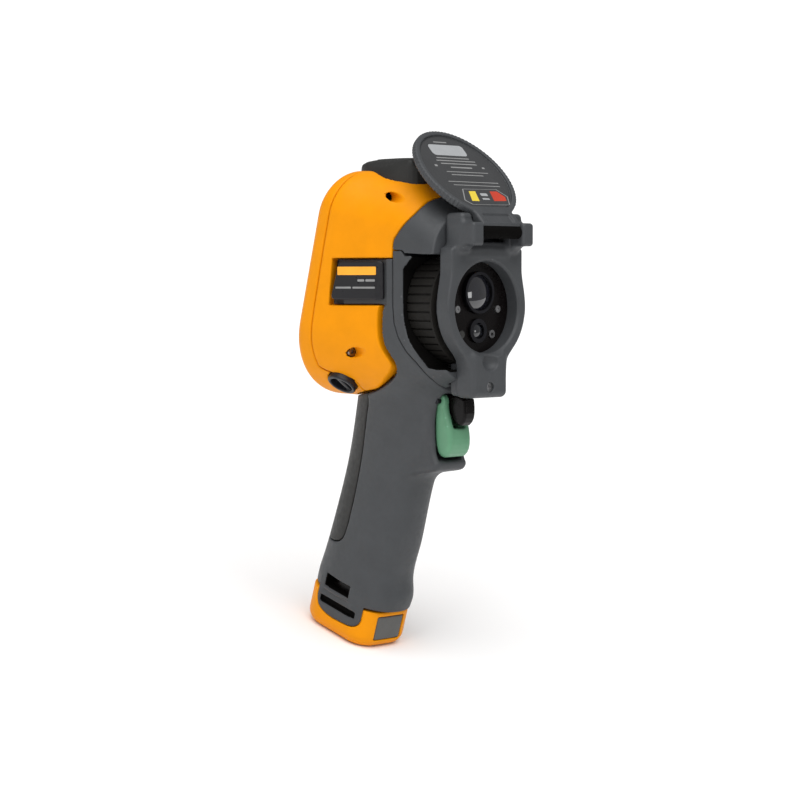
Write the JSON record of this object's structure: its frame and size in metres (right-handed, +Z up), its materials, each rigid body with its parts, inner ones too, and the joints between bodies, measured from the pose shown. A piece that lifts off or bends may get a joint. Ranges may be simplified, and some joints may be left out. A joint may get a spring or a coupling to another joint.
{
  "type": "thermal imaging camera",
  "caption": "Pistol-grip thermal imaging camera with a front lens cover, focus wheel, two triggers, rear display and a battery that slides into the handle.",
  "frame": {"origin": "on the battery base's flat bottom, where the handle's axis meets it", "axes": "+Z up along the handle's axis, +Y towards the display; the lens faces -Y and looks 17 degrees above level; +X is on the left of someone who faces the lens"},
  "size_m": [0.1, 0.1089, 0.2831],
  "materials": {
    "grey_plastic": "textured matte",
    "dark_plastic": "textured matte",
    "yellow_plastic": "satin",
    "dark_rubber": "matte",
    "badge_plastic": "satin",
    "anchor_plastic": "satin",
    "green_plastic": "satin",
    "black_plastic": "semi gloss",
    "black_metal": "black anodised",
    "ir_glass": "coated germanium",
    "clear_glass": "polished, over a dark panel",
    "led_lens": "clear, over a dark cell",
    "steel": "machined",
    "frame_metal": "cast",
    "board": "solder mask",
    "cell_wrap": "shrink wrap",
    "contact_metal": "plated"
  },
  "bodies": {
    "housing": {"front_housing": "grey_plastic", "front_dome": "grey_plastic", "handle_rear_cover": "dark_plastic", "side_shroud": "yellow_plastic", "rear_case": "yellow_plastic", "guard_left": "grey_plastic", "guard_right": "grey_plastic", "front_bezel": "grey_plastic", "bezel_screw": "steel", "lens_plate": "black_plastic", "faceplate_screws": "steel", "lens_barrel": "black_metal", "shutter_housing": "black_plastic", "ir_sensor": "board", "camera_module": "black_metal", "camera_lens": "clear_glass", "laser_module": "steel", "torch_led": "led_lens", "chassis": "frame_metal", "main_board": "board", "display_panel": "black_plastic", "display_glass": "clear_glass", "display_gasket": "dark_rubber", "keypad": "dark_rubber", "speaker": "black_plastic", "top_cover": "dark_plastic", "port_hinge_pin": "steel", "usb_port": "steel", "card_slot": "steel", "cover_hinge_pin": "steel", "trigger_pin": "steel", "trigger_springs": "steel", "trigger_switches": "black_plastic", "side_badge_left": "badge_plastic", "side_badge_right": "badge_plastic", "strap_anchor_left": "anchor_plastic", "strap_anchor_right": "anchor_plastic", "case_screws": "steel", "handle_screws": "steel"},
    "focus_wheel": {"focus_wheel": "dark_rubber"},
    "lens_cell": {"ir_lens_cell": "black_metal", "ir_lens_front": "ir_glass", "ir_lens_rear": "ir_glass"},
    "lens_cover": {"lens_cover": "grey_plastic", "lens_cover_label": "dark_plastic"},
    "primary_trigger": {"primary_trigger": "green_plastic"},
    "secondary_trigger": {"secondary_trigger": "black_plastic"},
    "power_button": {"power_button": "dark_rubber"},
    "menu_button": {"menu_button": "dark_rubber"},
    "back_button": {"back_button": "dark_rubber"},
    "port_door": {"port_door": "dark_plastic"},
    "battery": {"battery_base": "yellow_plastic", "battery_pack": "black_plastic", "battery_cells": "cell_wrap", "battery_contacts": "contact_metal", "latch_spring": "steel"},
    "battery_latch": {"battery_latch": "grey_plastic"},
    "shutter": {"shutter_blade": "steel"}
  },
  "joints": [
    {"name": "focus_turn", "type": "hinge", "parent": "housing", "child": "focus_wheel", "pos_m": [0, -0.02287, 0.19785], "axis": [0, -0.9563, 0.2924], "range_deg": [-60, 60]},
    {"name": "focus_travel", "type": "slide", "parent": "housing", "child": "lens_cell", "axis": [0, -0.9563, 0.2924], "range_m": [-0.0013, 0.0013]},
    {"name": "cover_hinge", "type": "hinge", "parent": "housing", "child": "lens_cover", "pos_m": [0, -0.03762, 0.24367], "axis": [1, 0, 0], "range_deg": [0, 222.5]},
    {"name": "trigger_pull", "type": "hinge", "parent": "housing", "child": "primary_trigger", "pos_m": [0, -0.0308, 0.14799], "axis": [1, 0, 0], "range_deg": [0, 7], "stiffness_Nm_per_rad": 0.6, "springref_deg": -8.59, "deforming": ["trigger_springs"]},
    {"name": "small_trigger_pull", "type": "hinge", "parent": "housing", "child": "secondary_trigger", "pos_m": [0, -0.0308, 0.14799], "axis": [1, 0, 0], "range_deg": [0, 5], "stiffness_Nm_per_rad": 0.4, "springref_deg": -8.59},
    {"name": "menu_button_press", "type": "slide", "parent": "housing", "child": "menu_button", "axis": [0, -0.9986, 0.0523], "range_m": [0, 0.0008], "stiffness_N_per_m": 900, "springref_m": -0.001},
    {"name": "power_button_press", "type": "slide", "parent": "housing", "child": "power_button", "axis": [0, -0.9986, 0.0523], "range_m": [0, 0.0008], "stiffness_N_per_m": 900, "springref_m": -0.001},
    {"name": "back_button_press", "type": "slide", "parent": "housing", "child": "back_button", "axis": [0, -0.9986, 0.0523], "range_m": [0, 0.0008], "stiffness_N_per_m": 900, "springref_m": -0.001},
    {"name": "port_door_hinge", "type": "hinge", "parent": "housing", "child": "port_door", "pos_m": [0, 0.02525, 0.26428], "axis": [1, 0, 0], "range_deg": [0, 78]},
    {"name": "battery_slide", "type": "slide", "parent": "housing", "child": "battery", "axis": [0, 0, -1], "range_m": [0, 0.1]},
    {"name": "latch_press", "type": "slide", "parent": "battery", "child": "battery_latch", "axis": [0, 1, 0], "range_m": [0, 0.002], "stiffness_N_per_m": 700, "springref_m": -0.002, "deforming": ["latch_spring"]},
    {"name": "shutter_turn", "type": "hinge", "parent": "housing", "child": "shutter", "pos_m": [0.0115, -0.00729, 0.19068], "axis": [0, -0.9563, 0.2924], "range_deg": [0, 49]}
  ],
  "couplings": [
    {"joint": "focus_travel", "follows": "focus_turn", "m_per_rad": 0.001146}
  ]
}
